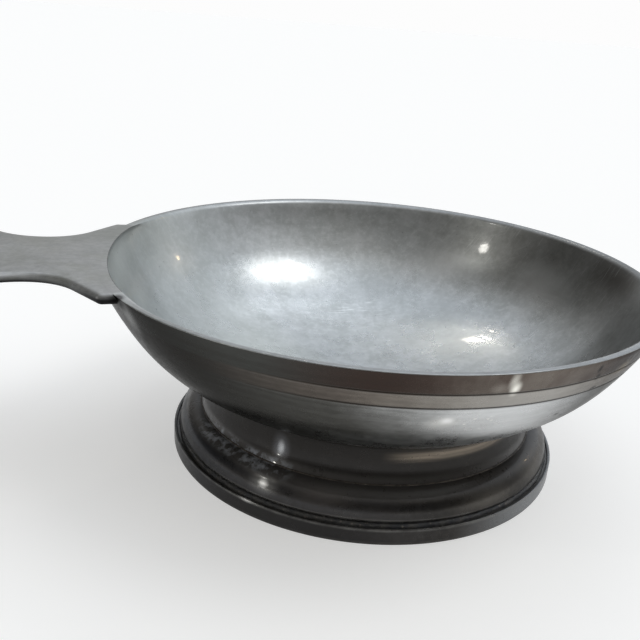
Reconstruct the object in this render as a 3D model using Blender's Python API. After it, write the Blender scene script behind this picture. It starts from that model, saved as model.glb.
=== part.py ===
"""Pewter snack dish: a turned bowl on a moulded foot, with one flat cast handle soldered to its rim.

Metres, +Z up. The handle points along -X, the dish stands on z = 0, and the origin is under the
middle of its length. Every piece is built about the bowl's own axis and hangs from one empty there.
"""

import math

import bmesh
import bpy
from mathutils import Vector

# Overall sizes of the dish
RIM_RADIUS = 0.0700
DISH_HEIGHT = 0.0499
BOWL_WALL = 0.0019
EDGE_SOFTENING = 0.0004

# Bowl outside, as three arcs that run on from each other: wall, shoulder and floor
RIM_SLOPE = math.radians(67.6)
WALL_ARC = 0.0793
SHOULDER_SLOPE = math.radians(55.6)
SHOULDER_ARC = 0.0400
FLOOR_SLOPE = math.radians(17.0)

# Two lines turned into the outside of the bowl, at these drops below the rim
LINE_DROPS = (0.0051, 0.0089)
LINE_WIDTH = 0.0007
LINE_DEPTH = 0.0003

# Base ring, with a low lip round the ledge that the dome stands on
BASE_RADIUS = 0.0506
BASE_HEIGHT = 0.0040
BASE_WIDTH = 0.0056
LIP_WIDTH = 0.0007
LIP_HEIGHT = 0.0006

# Quarter-round dome on the base ring, with a groove under its edge
LEDGE_WIDTH = 0.0016
DOME_LIFT = 0.0009
DOME_REACH = 0.0053
DOME_RISE = 0.0059
DOME_WALL = 0.0016
GROOVE_DEPTH = 0.0007

# Waisted collar between dome and bowl
WAIST_DEPTH = 0.0016
COLLAR_FLARE = 0.0009
COLLAR_WALL = 0.0016
SPIGOT_INSET = 0.0015
SPIGOT_DEPTH = 0.0022

# Handle outline, worked out both ways from its neck
HANDLE_THICKNESS = 0.0024
HANDLE_EDGE = 0.0009
NECK_REACH = 0.0133
NECK_HALF_WIDTH = 0.0155
ROOT_ARC = 0.0126
ROOT_TURN = math.radians(54)
ROOT_RUN = 0.0102
EAR_ARC = 0.0016
EAR_TURN = math.radians(64)
FLARE_ARC = 0.0161
FLARE_TURN = math.radians(52)
LOBE_ARC = 0.0105
LOBE_TURN = math.radians(107)

# Solder: a fillet under the bowl and handle, beads in the seams of the foot
BOWL_FILLET = 0.0010
SEAM_BEAD = 0.0006
HANDLE_FILLET = 0.0028
HANDLE_FILLET_END = 0.0009
HANDLE_FILLET_HALF_SPAN = math.radians(22)

# Clearance between pieces that meet, and the fineness of round shapes
CLEARANCE = 0.0003
TURN_STEPS = 64
ARC_STEP = math.radians(6.5)

# Sizes of the foot that follow from the ones above
LEDGE_HEIGHT = BASE_HEIGHT - LIP_HEIGHT
DOME_RADIUS = BASE_RADIUS - LEDGE_WIDTH
DOME_FOOT_HEIGHT = BASE_HEIGHT + DOME_LIFT
SEAM_RADIUS = DOME_RADIUS - DOME_REACH
SEAM_HEIGHT = DOME_FOOT_HEIGHT + DOME_RISE
WAIST_RADIUS = SEAM_RADIUS - WAIST_DEPTH
COLLAR_TOP_RADIUS = WAIST_RADIUS + COLLAR_FLARE
SPIGOT_RADIUS = SEAM_RADIUS - SPIGOT_INSET


def arc_points(start, heading, radius, turn):
    """Points after start along an arc, and the heading at its end. A positive turn is to the left."""
    side = math.copysign(1.0, turn)
    centre = Vector(start) + radius * Vector((-math.sin(heading), math.cos(heading))) * side
    count = max(2, math.ceil(abs(turn) / ARC_STEP))
    points = []
    for i in range(1, count + 1):
        at = heading + turn * i / count
        points.append(centre + radius * Vector((math.sin(at), -math.cos(at))) * side)
    return points, heading + turn


def bowl_arcs(offset):
    """The bowl's three arcs from rim to axis, moved in from its outside by offset, cut level at the rim."""
    rim = Vector((RIM_RADIUS, DISH_HEIGHT))
    wall_centre = rim + WALL_ARC * Vector((-math.sin(RIM_SLOPE), math.cos(RIM_SLOPE)))
    lower = Vector((math.sin(SHOULDER_SLOPE), -math.cos(SHOULDER_SLOPE)))
    shoulder_centre = wall_centre + (WALL_ARC - SHOULDER_ARC) * lower
    floor_arc = SHOULDER_ARC + shoulder_centre.x / math.sin(FLOOR_SLOPE)
    floor_centre = Vector((0.0, shoulder_centre.y + shoulder_centre.x / math.tan(FLOOR_SLOPE)))
    rim_slope = math.acos((wall_centre.y - DISH_HEIGHT) / (WALL_ARC - offset))
    return (
        (wall_centre, WALL_ARC - offset, rim_slope, SHOULDER_SLOPE),
        (shoulder_centre, SHOULDER_ARC - offset, SHOULDER_SLOPE, FLOOR_SLOPE),
        (floor_centre, floor_arc - offset, FLOOR_SLOPE, 0.0),
    )


def bowl_outline(offset):
    """Radius and height along one face of the bowl, from rim to axis."""
    points = []
    for centre, radius, high, low in bowl_arcs(offset):
        count = math.ceil((high - low) / ARC_STEP)
        for i in range(bool(points), count + 1):
            at = high + (low - high) * i / count
            points.append(centre + radius * Vector((math.sin(at), -math.cos(at))))
    points[-1].x = 0.0
    return points


def bowl_radius_at(height):
    """Radius of the outside of the bowl's wall at a height."""
    centre, radius, _, _ = bowl_arcs(0.0)[0]
    return centre.x + math.sqrt(radius**2 - (centre.y - height) ** 2)


def bowl_height_at(distance, offset):
    """Height of the bowl's face at a distance from the axis, moved in by offset."""
    for centre, radius, _, low in bowl_arcs(offset):
        if distance >= centre.x + radius * math.sin(low):
            break
    return centre.y - math.sqrt(radius**2 - (distance - centre.x) ** 2)


def with_lines(outline):
    """The bowl's outside with a V cut into it at each turned line."""
    cuts = []
    heights = [DISH_HEIGHT - drop for drop in LINE_DROPS]
    half = LINE_WIDTH / 2
    for height in heights:
        cuts.append(Vector((bowl_radius_at(height + half), height + half)))
        cuts.append(Vector((bowl_radius_at(height) - LINE_DEPTH, height)))
        cuts.append(Vector((bowl_radius_at(height - half), height - half)))
    clear = [p for p in outline if all(abs(p.y - h) > LINE_WIDTH for h in heights)]
    return sorted(clear + cuts, key=lambda p: -p.y)


def pewter(name, colour, roughness):
    """A metal material of the given colour and polish."""
    material = bpy.data.materials.new(name)
    material.use_nodes = True
    shader = material.node_tree.nodes["Principled BSDF"]
    shader.inputs["Base Color"].default_value = (*colour, 1.0)
    shader.inputs["Metallic"].default_value = 1.0
    shader.inputs["Roughness"].default_value = roughness
    return material


def add_object(name, mesh, material, axis):
    """A named piece that hangs from the dish's axis."""
    mesh.materials.append(material)
    piece = bpy.data.objects.new(name, mesh)
    bpy.context.scene.collection.objects.link(piece)
    piece.parent = axis
    return piece


def finish(name, builder, material, axis):
    """The built shape as a named piece with its faces turned outwards and smooth shading."""
    bmesh.ops.remove_doubles(builder, verts=builder.verts, dist=0.000001)
    bmesh.ops.recalc_face_normals(builder, faces=builder.faces)
    mesh = bpy.data.meshes.new(name)
    builder.to_mesh(mesh)
    builder.free()
    mesh.shade_smooth()
    mesh.set_sharp_from_angle(angle=math.radians(35))
    return add_object(name, mesh, material, axis)


def turned(name, profile, material, axis, closed=True):
    """A piece turned about the axis from a profile that runs down its outer side."""
    builder = bmesh.new()
    points = [builder.verts.new((p.x, 0.0, p.y)) for p in profile]
    edges = [builder.edges.new(pair) for pair in zip(points, points[1:])]
    if closed:
        edges.append(builder.edges.new((points[-1], points[0])))
    bmesh.ops.spin(
        builder,
        geom=points + edges,
        cent=(0.0, 0.0, 0.0),
        axis=(0.0, 0.0, 1.0),
        angle=math.tau,
        steps=TURN_STEPS,
        use_merge=True,
    )
    return finish(name, builder, material, axis)


def add_bowl(material, axis):
    """The bowl: inside from its middle up to the level rim, then down the outside."""
    inside = bowl_outline(BOWL_WALL)[::-1]
    outside = bowl_outline(0.0)
    rim_outer = outside[0]
    lip = [
        Vector((inside[-1].x + EDGE_SOFTENING / 2, DISH_HEIGHT)),
        Vector((rim_outer.x - EDGE_SOFTENING, DISH_HEIGHT)),
        Vector((rim_outer.x, DISH_HEIGHT - EDGE_SOFTENING)),
    ]
    inside[-1].y -= EDGE_SOFTENING
    return turned("bowl", inside + lip + with_lines(outside[1:]), material, axis, closed=False)


def add_collar(material, axis):
    """The waisted drum, with a spigot below that drops into the dome."""
    gap = -CLEARANCE
    foot = SEAM_HEIGHT + CLEARANCE
    top = bowl_height_at(COLLAR_TOP_RADIUS, gap)
    swell = SEAM_RADIUS - WAIST_RADIUS
    lift = COLLAR_TOP_RADIUS - WAIST_RADIUS
    waist = foot + (top - foot) * 0.55
    outer = [Vector((COLLAR_TOP_RADIUS, top))]
    for share in (0.7, 0.35, 0.0):
        outer.append(Vector((WAIST_RADIUS + lift * share**2, waist + (top - waist) * share)))
    for share in (0.35, 0.7, 1.0):
        outer.append(Vector((WAIST_RADIUS + swell * share**2, waist - (waist - foot) * share)))
    bore = SPIGOT_RADIUS - COLLAR_WALL
    spigot = [
        Vector((SPIGOT_RADIUS, foot)),
        Vector((SPIGOT_RADIUS, SEAM_HEIGHT - SPIGOT_DEPTH)),
        Vector((bore, SEAM_HEIGHT - SPIGOT_DEPTH)),
        Vector((bore, bowl_height_at(bore, gap))),
    ]
    return turned("foot_collar", outer + spigot, material, axis)


def add_dome(material, axis):
    """The quarter-round, hollow underneath, standing on the base ring by a short skirt."""
    bore = SPIGOT_RADIUS + CLEARANCE
    skirt = DOME_RADIUS - GROOVE_DEPTH
    foot = LEDGE_HEIGHT + CLEARANCE
    outer = [Vector((bore, SEAM_HEIGHT))]
    inner = []
    for degrees in range(0, 91, 15):
        at = math.radians(degrees)
        across = Vector((math.sin(at), math.cos(at)))
        outer.append(Vector((SEAM_RADIUS + DOME_REACH * across.x, DOME_FOOT_HEIGHT + DOME_RISE * across.y)))
        hollow = Vector((DOME_REACH - DOME_WALL, DOME_RISE - DOME_WALL))
        inner.append(Vector((SEAM_RADIUS + hollow.x * across.x, DOME_FOOT_HEIGHT + hollow.y * across.y)))
    under = [
        Vector((skirt, DOME_FOOT_HEIGHT)),
        Vector((skirt, foot)),
        Vector((inner[-1].x, foot)),
    ]
    throat = Vector((bore, SEAM_HEIGHT - DOME_WALL))
    return turned("foot_dome", outer + under + inner[::-1] + [throat], material, axis)


def add_base_ring(material, axis):
    """The ring under the foot, flat below, with a low lip round the ledge that the dome stands on."""
    soft = EDGE_SOFTENING
    bore = BASE_RADIUS - BASE_WIDTH
    profile = [
        Vector((bore, LEDGE_HEIGHT)),
        Vector((BASE_RADIUS - LIP_WIDTH, LEDGE_HEIGHT)),
        Vector((BASE_RADIUS - LIP_WIDTH, BASE_HEIGHT)),
        Vector((BASE_RADIUS - soft, BASE_HEIGHT)),
        Vector((BASE_RADIUS, BASE_HEIGHT - soft)),
        Vector((BASE_RADIUS, soft)),
        Vector((BASE_RADIUS - soft, 0.0)),
        Vector((bore, 0.0)),
    ]
    return turned("base_ring", profile, material, axis)


def handle_half_outline():
    """Distance and half-width along one side of the handle, from the ear at the rim to the tip."""
    neck = Vector((RIM_RADIUS + NECK_REACH, NECK_HALF_WIDTH))
    root, heading = arc_points(neck, math.pi, ROOT_ARC, -ROOT_TURN)
    along = Vector((math.cos(heading), math.sin(heading)))
    shoulder = root[-1] + ROOT_RUN * along
    ear, _ = arc_points(shoulder, heading, EAR_ARC, EAR_TURN)
    flare, heading = arc_points(neck, 0.0, FLARE_ARC, FLARE_TURN)
    lobe, heading = arc_points(flare[-1], heading, LOBE_ARC, -LOBE_TURN)
    cap_turn = math.pi / 2 + heading
    end_arc = lobe[-1].y / math.sin(cap_turn)
    cap, _ = arc_points(lobe[-1], heading, end_arc, -cap_turn)
    cap[-1].y = 0.0
    return (root + [shoulder] + ear)[::-1] + [neck] + flare + lobe + cap


def seat_points(half_width, steps):
    """The hollow edge of the handle that fits round the bowl, from +Y to -Y."""
    radius = RIM_RADIUS + CLEARANCE
    reach = math.asin(half_width / radius)
    span = [reach - 2 * reach * i / steps for i in range(steps + 1)]
    return [Vector((radius * math.cos(at), radius * math.sin(at))) for at in span]


def add_handle(half, material, axis):
    """The cast handle: a level plate with rounded edges and a hollow seat for the bowl's wall."""
    sides = half + [Vector((p.x, -p.y)) for p in half[-2::-1]]
    seat = seat_points(half[0].y, 12)
    builder = bmesh.new()
    top = [builder.verts.new((-p.x, p.y, DISH_HEIGHT)) for p in sides + seat[::-1]]
    face = builder.faces.new(top)
    result = bmesh.ops.extrude_face_region(builder, geom=[face])
    lower = [item for item in result["geom"] if isinstance(item, bmesh.types.BMVert)]
    bmesh.ops.translate(builder, verts=lower, vec=(0.0, 0.0, -HANDLE_THICKNESS))
    seat_radius = RIM_RADIUS + CLEARANCE
    under_radius = bowl_radius_at(DISH_HEIGHT - HANDLE_THICKNESS) + CLEARANCE
    for vert in lower:
        if vert.co.xy.length < seat_radius + 0.5 * CLEARANCE:
            vert.co.xy *= under_radius / seat_radius
    bmesh.ops.recalc_face_normals(builder, faces=builder.faces)
    rounded = []
    for edge in builder.edges:
        first, second = (v.co for v in edge.verts)
        level = abs(first.z - second.z) < 1e-6
        away = min(math.hypot(p.x, p.y) for p in (first, second)) > RIM_RADIUS + 3 * CLEARANCE
        if level and away and edge.is_manifold:
            rounded.append(edge)
    bmesh.ops.bevel(
        builder,
        geom=rounded,
        offset=HANDLE_EDGE,
        offset_type="OFFSET",
        affect="EDGES",
        segments=2,
        profile=0.5,
        material=-1,
        clamp_overlap=True,
    )
    return finish("handle", builder, material, axis)


def add_bowl_solder(material, axis):
    """The fillet in the corner between bowl and collar."""
    inner = COLLAR_TOP_RADIUS + CLEARANCE
    outer = inner + BOWL_FILLET
    top = bowl_height_at(inner, -CLEARANCE)
    profile = [
        Vector((inner, top)),
        Vector((outer, bowl_height_at(outer, -CLEARANCE))),
        Vector((inner + BOWL_FILLET * 0.3, top - BOWL_FILLET * 0.35)),
        Vector((inner, top - BOWL_FILLET)),
    ]
    return turned("bowl_solder", profile, material, axis)


def add_bead(name, radius, height, material, axis):
    """A quarter-round bead of solder in the corner of a seam of the foot."""
    profile = [
        Vector((radius, height + SEAM_BEAD)),
        Vector((radius + SEAM_BEAD * 0.6, height + SEAM_BEAD * 0.6)),
        Vector((radius + SEAM_BEAD, height)),
        Vector((radius, height)),
    ]
    return turned(name, profile, material, axis)


def handle_solder_section(leg):
    """Corners of the solder under the handle, round a hollow face, for a given leg."""
    top = DISH_HEIGHT - HANDLE_THICKNESS - CLEARANCE
    low = top - leg
    inner_top = bowl_radius_at(top) + CLEARANCE
    inner_low = bowl_radius_at(low) + CLEARANCE
    return [
        Vector((inner_top, top)),
        Vector((inner_top + leg, top)),
        Vector((inner_top + leg * 0.4, top - leg * 0.35)),
        Vector((inner_low + leg * 0.15, low)),
        Vector((inner_low, low)),
    ]


def add_handle_solder(material, axis):
    """The curved wedge of solder between handle and bowl, fading out towards its ends."""
    steps = round(2 * HANDLE_FILLET_HALF_SPAN / math.tau * TURN_STEPS)
    builder = bmesh.new()
    rings = []
    for i in range(steps + 1):
        share = 2 * i / steps - 1
        at = math.pi + HANDLE_FILLET_HALF_SPAN * share
        leg = HANDLE_FILLET - (HANDLE_FILLET - HANDLE_FILLET_END) * share**4
        section = handle_solder_section(leg)
        rings.append([builder.verts.new((p.x * math.cos(at), p.x * math.sin(at), p.y)) for p in section])
    for near, far in zip(rings, rings[1:]):
        for j in range(len(near)):
            k = (j + 1) % len(near)
            builder.faces.new((near[j], near[k], far[k], far[j]))
    builder.faces.new(rings[0])
    builder.faces.new(rings[-1])
    return finish("handle_solder", builder, material, axis)


def main():
    for old in list(bpy.data.objects):
        bpy.data.objects.remove(old, do_unlink=True)
    half = handle_half_outline()
    axis = bpy.data.objects.new("dish_axis", None)
    axis.location.x = (half[-1].x - RIM_RADIUS) / 2
    bpy.context.scene.collection.objects.link(axis)

    worn = pewter("worn_pewter", (0.40, 0.41, 0.42), 0.36)
    cast = pewter("cast_pewter", (0.33, 0.34, 0.35), 0.45)
    dark = pewter("tarnished_pewter", (0.13, 0.125, 0.12), 0.38)
    solder = pewter("dull_solder", (0.09, 0.088, 0.085), 0.6)

    add_bowl(worn, axis)
    add_collar(dark, axis)
    add_dome(dark, axis)
    add_base_ring(dark, axis)
    add_handle(half, cast, axis)
    add_bowl_solder(solder, axis)
    add_bead("collar_solder", SEAM_RADIUS + CLEARANCE, SEAM_HEIGHT + CLEARANCE, solder, axis)
    add_bead("ring_solder", DOME_RADIUS - GROOVE_DEPTH + CLEARANCE, LEDGE_HEIGHT + CLEARANCE, solder, axis)
    add_handle_solder(solder, axis)


main()
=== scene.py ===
"""Pewter snack dish: the turned bowl, moulded foot and cast handle, dressed as worn and tarnished metal.

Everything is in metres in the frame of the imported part: +Z up, handle along -X.
"""

from __future__ import annotations

import logging
from dataclasses import dataclass
from enum import Enum
from functools import partial, reduce
from math import acos, asin, atan2, ceil, copysign, cos, hypot, pi, radians, sin, sqrt, tan, tau
from typing import Any, Callable

import bmesh
import bpy
from mathutils import Matrix, Vector

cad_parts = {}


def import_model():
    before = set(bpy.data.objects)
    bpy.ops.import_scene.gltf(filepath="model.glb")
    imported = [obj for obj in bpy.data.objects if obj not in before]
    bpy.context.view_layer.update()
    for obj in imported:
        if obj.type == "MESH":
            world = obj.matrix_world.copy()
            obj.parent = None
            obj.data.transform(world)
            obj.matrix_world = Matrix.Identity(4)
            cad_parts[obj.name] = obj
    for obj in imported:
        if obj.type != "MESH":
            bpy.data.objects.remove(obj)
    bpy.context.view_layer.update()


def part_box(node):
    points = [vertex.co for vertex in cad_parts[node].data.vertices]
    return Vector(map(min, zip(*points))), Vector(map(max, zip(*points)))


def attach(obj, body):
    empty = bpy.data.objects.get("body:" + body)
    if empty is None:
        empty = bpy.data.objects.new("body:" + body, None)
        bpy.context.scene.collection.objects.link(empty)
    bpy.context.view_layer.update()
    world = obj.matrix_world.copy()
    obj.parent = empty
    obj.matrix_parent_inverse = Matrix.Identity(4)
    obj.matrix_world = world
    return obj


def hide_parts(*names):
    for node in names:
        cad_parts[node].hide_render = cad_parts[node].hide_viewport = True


LOG = logging.getLogger("snack_dish")
BODY = "root"
MM = 0.001
Value = Any
Triple = tuple[float, float, float]
Colour = tuple[float, float, float, float]
Material = bpy.types.Material
Shape = bmesh.types.BMesh
SOFT = {"interpolation_type": "SMOOTHSTEP"}
SUM = {"operation": "ADD"}
TIMES = {"operation": "MULTIPLY"}
MOST = {"operation": "MAXIMUM"}


class Slot(Enum):
    """Names of the part's material slots."""

    WORN = "worn_pewter"
    CAST = "cast_pewter"
    TARNISHED = "tarnished_pewter"
    SOLDER = "dull_solder"


def linear(code: str) -> Colour:
    """Turn an sRGB hex colour into linear values.

    Args:
        code: Colour as "#rrggbb".

    Returns:
        Linear red, green, blue and full alpha.
    """
    parts = [int(code[i : i + 2], 16) / 255 for i in (1, 3, 5)]
    values = [c / 12.92 if c <= 0.04045 else ((c + 0.055) / 1.055) ** 2.4 for c in parts]
    return (*values, 1.0)


def add_node(
    tree: bpy.types.NodeTree,
    kind: str,
    inputs: dict[Any, Value] | list[Value],
    out: Any = 0,
    **settings: Any,
) -> Value:
    """Add a shader node with its settings, and set or link its inputs.

    Args:
        tree: Node tree that gets the node.
        kind: Node type without its "ShaderNode" prefix, such as "Math".
        inputs: Values or sockets, in order or by input name or number.
        out: Output to return.
        **settings: Properties of the node itself.

    Returns:
        The chosen output socket, or None for a node that has none.
    """
    node = tree.nodes.new("ShaderNode" + kind)
    for name, value in settings.items():
        setattr(node, name, value)
    for key, value in inputs.items() if isinstance(inputs, dict) else enumerate(inputs):
        if isinstance(value, bpy.types.NodeSocket):
            tree.links.new(value, node.inputs[key])
        else:
            node.inputs[key].default_value = value
    return node.outputs[out] if node.outputs else None


def fresh_nodes(owner: Material | bpy.types.World) -> Callable[..., Value]:
    """Clear the nodes of a material or world.

    Args:
        owner: The material or world.

    Returns:
        add_node for its own tree.
    """
    owner.use_nodes = True
    owner.node_tree.nodes.clear()
    return partial(add_node, owner.node_tree)


class Surface:
    """The marks of old pewter, drawn as shader nodes from places on the dish."""

    SKIN_ROUGHNESS = 0.065
    SKIN_IOR = 1.8

    def __init__(self, name: str, axis: float) -> None:
        """Start an empty material.

        Args:
            name: Material name.
            axis: X of the dish's upright axis.
        """
        self.material = bpy.data.materials.new(name)
        self.add = fresh_nodes(self.material)
        found = self.add("TexCoord", [], out="Object")
        self.place = self.add("Mapping", {"Vector": found, "Location": (-axis, 0.0, 0.0)})
        self.height = self.add("SeparateXYZ", [self.place], out="Z")
        flat = self.add("VectorMath", [self.place, (1.0, 1.0, 0.0)], operation="MULTIPLY")
        self.radius = self.add("VectorMath", [flat], out="Value", operation="LENGTH")
        self.outward = self.add("VectorMath", [flat], operation="NORMALIZE")
        self.wear = self.add("Attribute", [], out="Fac", attribute_name="wear")
        # Dirt in the lines, corners and seams, and painted shade on the rim and the handle's sides.
        self.grime_and_shade = self.add("Attribute", [], out="Fac", attribute_name="grime_and_shade")

    def facing(self, degrees: float) -> Value:
        """How far a place on the dish faces a direction: 1 towards it, -1 away from it."""
        way = (cos(radians(degrees)), sin(radians(degrees)), 0.0)
        return self.add("VectorMath", [self.outward, way], out="Value", operation="DOT_PRODUCT")

    def towards(self, degrees: float, low: float, high: float, share: float = 1.0) -> Value:
        """A share that grows from 0 as places face a direction, from facing low to facing high."""
        return self.add("MapRange", [self.facing(degrees), low, high, 0.0, share], **SOFT)

    def upward(self, low_mm: float, high_mm: float, below: float = 0.0, above: float = 1.0) -> Value:
        """A share that goes from one value to another between two heights on the dish."""
        return self.add("MapRange", [self.height, low_mm * MM, high_mm * MM, below, above], **SOFT)

    def clouds(self, size_mm: float, low: float, high: float, stretch: Triple = (1, 1, 1)) -> Value:
        """Cloudy patches.

        Args:
            size_mm: Typical width of a patch.
            low: Result in the thin parts.
            high: Result in the dense parts.
            stretch: Factors on the three axes, above 1 for narrower patches.

        Returns:
            A socket between low and high.
        """
        where = self.add("Mapping", {"Vector": self.place, "Scale": stretch})
        inputs = {"Vector": where, "Scale": 1.0 / (size_mm * MM), "Detail": 4.0, "Roughness": 0.6}
        return self.add("MapRange", [self.add("TexNoise", inputs), 0.34, 0.66, low, high], **SOFT)

    def rings(self, along: Value, pitch_mm: float, low: float, high: float) -> Value:
        """Uneven rings left by the lathe's tool, drawn coarser than the real 0.2 mm so that they show.

        Args:
            along: Socket that grows along the profile.
            pitch_mm: Distance between rings.
            low: Lowest result.
            high: Highest result.

        Returns:
            A socket between low and high.
        """
        drift = self.add("Math", [self.clouds(20.0, -0.4 * MM, 0.4 * MM), along], **SUM)
        inputs = {"W": drift, "Scale": 1.0 / (pitch_mm * MM), "Detail": 2.0}
        grooves = self.add("TexNoise", inputs, noise_dimensions="1D")
        return self.add("MapRange", [grooves, 0.3, 0.7, low, high], **SOFT)

    def scratches(self, degrees: float, length_mm: float, width_mm: float, depth: float) -> Value:
        """Hairline scratches that run mostly one way, drawn wider than real ones so that they show.

        Args:
            degrees: Direction of the scratches on the table plane.
            length_mm: Typical length.
            width_mm: Typical width.
            depth: Result in a scratch.

        Returns:
            A socket that is 0 beside the scratches.
        """
        turned = self.add("Mapping", {"Vector": self.place, "Rotation": (0.0, 0.0, radians(-degrees))})
        sizes = tuple(1.0 / (size * MM) for size in (length_mm, width_mm, length_mm))
        thin = self.add("Mapping", {"Vector": turned, "Scale": sizes})
        lines = self.add("TexNoise", {"Vector": thin, "Scale": 1.0, "Detail": 1.0})
        return self.add("MapRange", [lines, 0.66, 0.74, 0.0, depth], **SOFT)

    def specks(self, spacing_mm: float, share: float, depth: float) -> Value:
        """Small separate pits or crumbs.

        Args:
            spacing_mm: Distance between the places where one may be.
            share: Size of a speck as a share of that distance.
            depth: Result in a speck.

        Returns:
            A socket that is 0 beside the specks.
        """
        inputs = {"Vector": self.place, "Scale": 1.0 / (spacing_mm * MM), "Randomness": 1.0}
        away = self.add("TexVoronoi", inputs, out="Distance")
        return self.add("MapRange", [away, 0.4 * share, share, depth, 0.0], **SOFT)

    def spot(self, centre: Triple, size_mm: Triple, depth: float = 1.0) -> Value:
        """A soft round mark at one place on the dish.

        Args:
            centre: Place from the dish's axis, in millimetres.
            size_mm: Half-widths along the three axes.
            depth: Result in the middle.

        Returns:
            A socket that fades to 0 at the half-widths.
        """
        scale = tuple(1.0 / (s * MM) for s in size_mm)
        offset = tuple(-c / s for c, s in zip(centre, size_mm))
        where = self.add("Mapping", {"Vector": self.place, "Scale": scale, "Location": offset})
        away = self.add("VectorMath", [where], out="Value", operation="LENGTH")
        return self.add("MapRange", [away, 0.0, 1.0, depth, 0.0], **SOFT)

    def layers(self, ground: str, *coats: tuple[Value, ...]) -> Value:
        """Lay colours over a ground, each with its own share.

        Args:
            ground: Hex colour of the ground.
            *coats: Shares, multiplied together, and then the hex colour or socket of each layer, from below.

        Returns:
            The blended colour's socket.
        """
        blend: Value = linear(ground)
        for *shares, code in coats:
            share = reduce(lambda one, other: self.add("Math", [one, other], **TIMES), shares)
            colour = linear(code) if isinstance(code, str) else code
            blend = self.add("Mix", {0: share, 6: blend, 7: colour}, out=2, data_type="RGBA")
        return blend

    def finish(
        self,
        colour: Value,
        roughness: Value,
        relief: Value,
        depth_mm: float,
        metallic: Value = 1.0,
        skin: Value = 0.0,
        graze: Value = 1.0,
    ) -> Material:
        """Join colour, roughness and relief into the metal's shader.

        Args:
            colour: Colour socket.
            roughness: Roughness socket.
            relief: Relief socket, 0 to 1.
            depth_mm: Depth of the relief.
            metallic: Share of bare metal, below 1 where thick oxide covers it.
            skin: Share of thin clear tin oxide, which gives lamps a crisp glint.
            graze: Reflection at grazing angles, below 1 where tarnish dulls it.

        Returns:
            The finished material.
        """
        normal = self.add("Bump", {"Height": relief, "Strength": 1.0, "Distance": depth_mm * MM})
        inputs = {"Base Color": colour, "Metallic": metallic, "Roughness": roughness, "Normal": normal}
        inputs |= {"Coat Weight": skin, "Coat Roughness": self.SKIN_ROUGHNESS, "Coat IOR": self.SKIN_IOR}
        inputs |= {"Specular Tint": (graze, graze, graze, 1.0) if isinstance(graze, float) else graze}
        shader = self.add("BsdfPrincipled", inputs)
        self.add("OutputMaterial", {"Surface": shader})
        return self.material


@dataclass(frozen=True)
class SatinInside:
    """Turned pewter, rubbed satin by use: a pale blue-grey sheen, faint clouds and a thin glossy skin, with
    painted shade on the upper right wall and painted light on the left wall.
    """

    axis: float
    name: str = "satin_turned_pewter"
    pale: str = "#b9bcbd"
    dull: str = "#a6aaaa"
    stain: str = "#919492"
    hairline: str = "#c6c9c9"

    def material(self) -> Material:
        """Build the material.

        Returns:
            The finished material.
        """
        s = Surface(self.name, self.axis)
        cloud = s.add("Math", [s.clouds(13.0, 0.0, 0.6), s.clouds(2.6, 0.0, 0.45)], **SUM)
        hair = s.add("Math", [s.scratches(4, 9, 0.30, 0.25), s.scratches(-38, 6, 0.25, 0.12)], **MOST)
        colour = s.layers(
            self.pale,
            (cloud, self.dull),
            (s.clouds(5.0, -0.1, 0.35), self.stain),
            (s.clouds(1.5, -0.25, 0.24), "#cfd3d3"),
            (s.towards(172, 0.55, 0.95, 0.4), "#c2c6c0"),
            # Painted light: a lighter patch on the left wall by the handle's seat.
            (s.spot((-66, 6, 45), (7, 24, 8), 0.6), "#d9ddd8"),
            # Painted shade: the upper right wall darker.
            (s.upward(28, 42), s.towards(10, 0.5, 0.98, 0.5), "#55524c"),
            (s.spot((26, 24, 20), (26, 26, 14), 0.5), "#8f9392"),
            (s.spot((15, 49, 27), (17, 13, 9), 0.45), "#8d9190"),
            (s.spot((33, 12, 20), (15, 12, 7), 0.45), "#8d9190"),
            (s.spot((32, 33, 24), (14, 11, 6), 0.35), "#8d9190"),
            (s.spot((36, 47, 35), (17, 14, 7), 0.5), "#d5d8d8"),
            (s.spot((57, 20, 37), (12, 16, 9), 0.6), "#d5d8d8"),
            # Painted reflection: the right end of the wall darker, where it mirrors the dim room.
            (s.spot((66.5, -3, 46), (7, 22, 9), 0.85), "#4a4844"),
            (s.spot((-60, 28, 46), (16, 22, 14), 0.5), "#74786f"),
            # Painted highlight: a pale patch round a small lamp glint on the left wall.
            (s.spot((-59, 6, 36), (7, 10, 6), 0.5), "#d9ddd9"),
            (s.specks(3.1, 0.10, 0.35), "#5f6060"),
            (s.grime_and_shade, 0.85, "#636362"),
            # Painted shadow in the notch by the handle's ear.
            (s.spot((-62.5, -31.2, 49.7), (1.9, 2.8, 1.8), 1.6), "#1a1a1a"),
            (hair, self.hairline),
            (s.scratches(2, 8, 0.3, 1.0), s.spot((6, 39.5, 21.5), (16, 7, 6)), "#e4e7e7"),
        )
        rough = s.add("Math", [s.clouds(9.0, 0.26, 0.31), s.upward(32, 41, 0.0, 0.08)], **SUM)
        relief = s.add("Math", [s.clouds(1.6, 0.0, 1.0), s.rings(s.radius, 0.9, 0.0, 0.6)], **SUM)
        end = s.add("Math", [s.upward(32, 40), s.towards(-3, 0.80, 0.95)], **TIMES)
        skin = s.add("MapRange", [end, 0.0, 1.0, 0.35, 0.06])
        return s.finish(colour, rough, relief, 0.004, skin=skin)


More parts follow.
